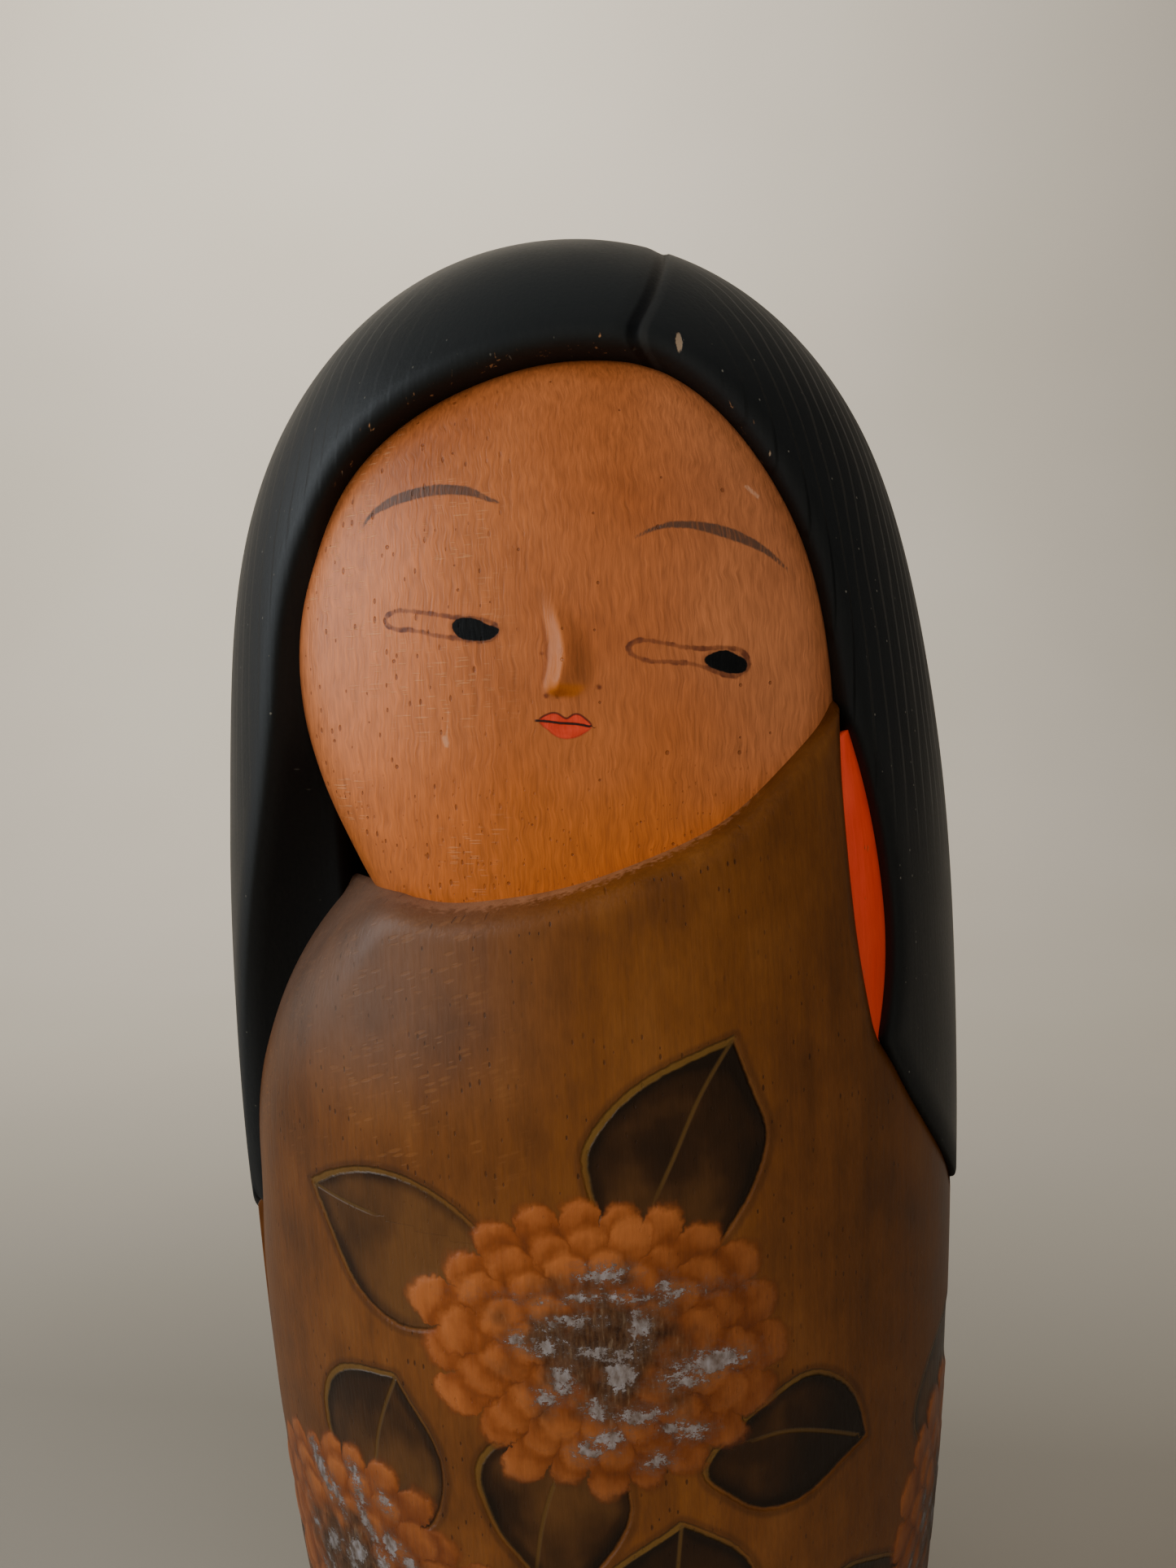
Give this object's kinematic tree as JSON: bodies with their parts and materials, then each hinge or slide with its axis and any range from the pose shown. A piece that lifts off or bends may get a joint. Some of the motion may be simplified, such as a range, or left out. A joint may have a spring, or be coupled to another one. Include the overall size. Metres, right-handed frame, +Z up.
{
  "type": "kokeshi doll",
  "caption": "Turned and carved wooden kokeshi doll of a long-haired girl, her painted face tucked into a flower-carved robe; a free-standing ornament.",
  "frame": {"origin": "centre of the cork pad's underside, on the turning axis", "axes": "+Z up along the turning axis, -Y the way the face looks, +X towards the doll's own left, the side where the robe wraps over"},
  "size_m": [0.1214, 0.1205, 0.282],
  "materials": {
    "robe_wood": "brown stain with orange and olive paint under satin varnish",
    "hair_lacquer": "satin black lacquer over fine growth rings",
    "face_wood": "warm orange-tan varnish with painted features",
    "lining_paint": "matt red paint",
    "dowel_wood": "bare pale wood",
    "cork": "fine-grained sheet cork"
  },
  "bodies": {
    "root": {"robe_body": "robe_wood", "hair_hood": "hair_lacquer", "face": "face_wood", "collar_lining": "lining_paint", "neck_dowel": "dowel_wood", "locating_pin": "dowel_wood", "face_pins": "dowel_wood", "core_plug": "dowel_wood", "base_pad": "cork"}
  },
  "joints": []
}
